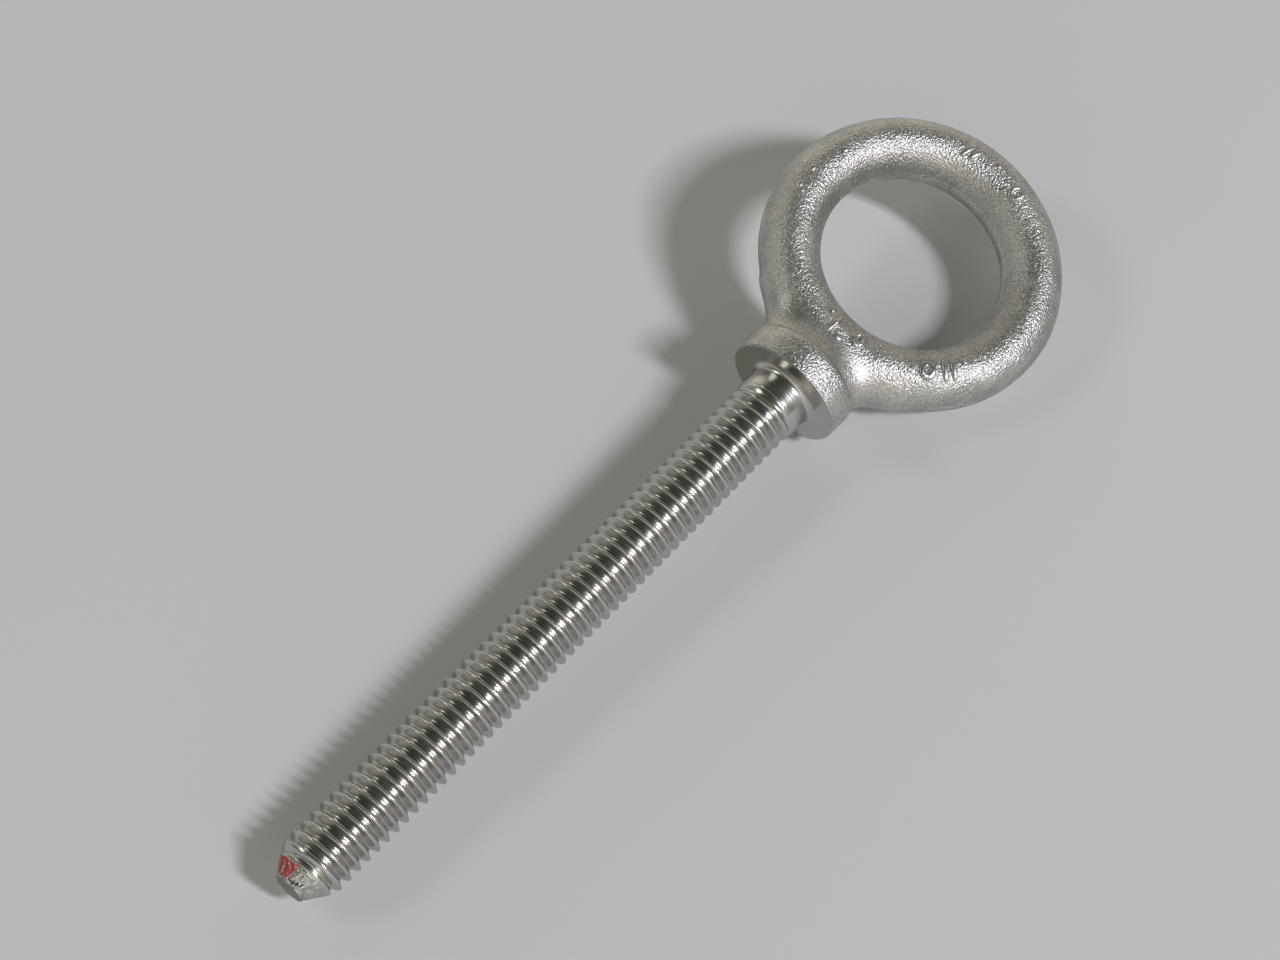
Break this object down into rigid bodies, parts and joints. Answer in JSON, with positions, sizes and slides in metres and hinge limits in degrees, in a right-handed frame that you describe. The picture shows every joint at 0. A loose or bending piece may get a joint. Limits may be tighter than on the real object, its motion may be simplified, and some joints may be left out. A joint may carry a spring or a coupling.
{
  "type": "shoulder eye bolt",
  "caption": "Forged shoulder eye bolt with a closed round eye, a round shoulder and a long fully threaded shank with a coned point.",
  "frame": {"origin": "centre of the shoulder's seating face, on the shank's axis", "axes": "+X from the seating face towards the eye, along the shank's axis; the eye's ring lies in the XY plane; +Z is out of the ring's upper face, the one with the raised marks"},
  "size_m": [0.1193, 0.0362, 0.0144],
  "materials": {
    "forged_steel": "shot-blasted satin",
    "turned_steel": "bright turned",
    "thread_steel": "bright rolled thread"
  },
  "bodies": {
    "root": {"eye_ring": "forged_steel", "flash_land": "forged_steel", "raised_marks": "forged_steel", "eye_saddle": "forged_steel", "shoulder_collar": "forged_steel", "plain_neck": "turned_steel", "threaded_shank": "thread_steel", "chamfered_point": "thread_steel"}
  },
  "joints": []
}
